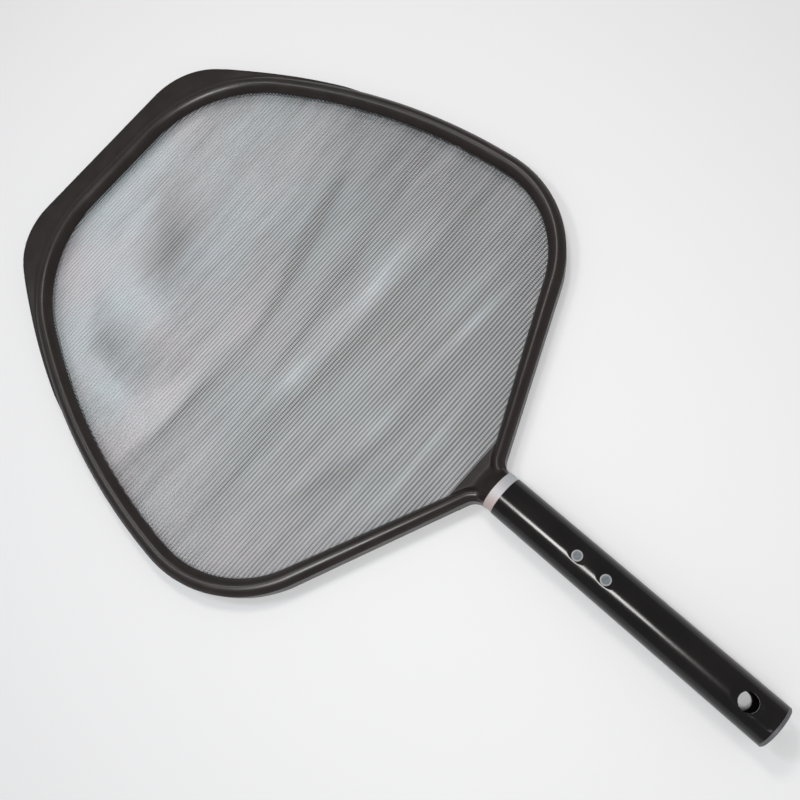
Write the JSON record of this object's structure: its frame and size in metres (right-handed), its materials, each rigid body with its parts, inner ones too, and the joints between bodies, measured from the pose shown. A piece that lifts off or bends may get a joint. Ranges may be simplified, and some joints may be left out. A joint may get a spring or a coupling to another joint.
{
  "type": "leaf skimmer net",
  "caption": "Flat pool leaf skimmer: a moulded pentagonal hoop with a scoop lip and woven net, riveted to a short tube handle that fits a telescopic pole.",
  "frame": {"origin": "centre of the locking hole across the handle, on the handle's axis", "axes": "+Y along the handle towards the net, +Z out of the scooping side, X across, with the part symmetric about X = 0"},
  "size_m": [0.3856, 0.6382, 0.0285],
  "materials": {
    "frame_plastic": "moulded brown-black plastic with a satin gloss",
    "ring_plastic": "moulded brown-black plastic, matt",
    "net_thread": "light grey monofilament plain weave",
    "handle_black": "glossy black coated aluminium",
    "collar_metal": "satin bare aluminium",
    "rivet_metal": "flat set rivet heads, lightly scuffed",
    "end_ring_grey": "mid grey moulded plastic"
  },
  "bodies": {
    "root": {"hoop_frame": "frame_plastic", "mesh_clamp_ring": "ring_plastic", "net_mesh": "net_thread", "neck_collar": "collar_metal", "handle_tube": "handle_black", "handle_end_ring": "end_ring_grey", "handle_rivet_front": "rivet_metal", "handle_rivet_rear": "rivet_metal"}
  },
  "joints": []
}
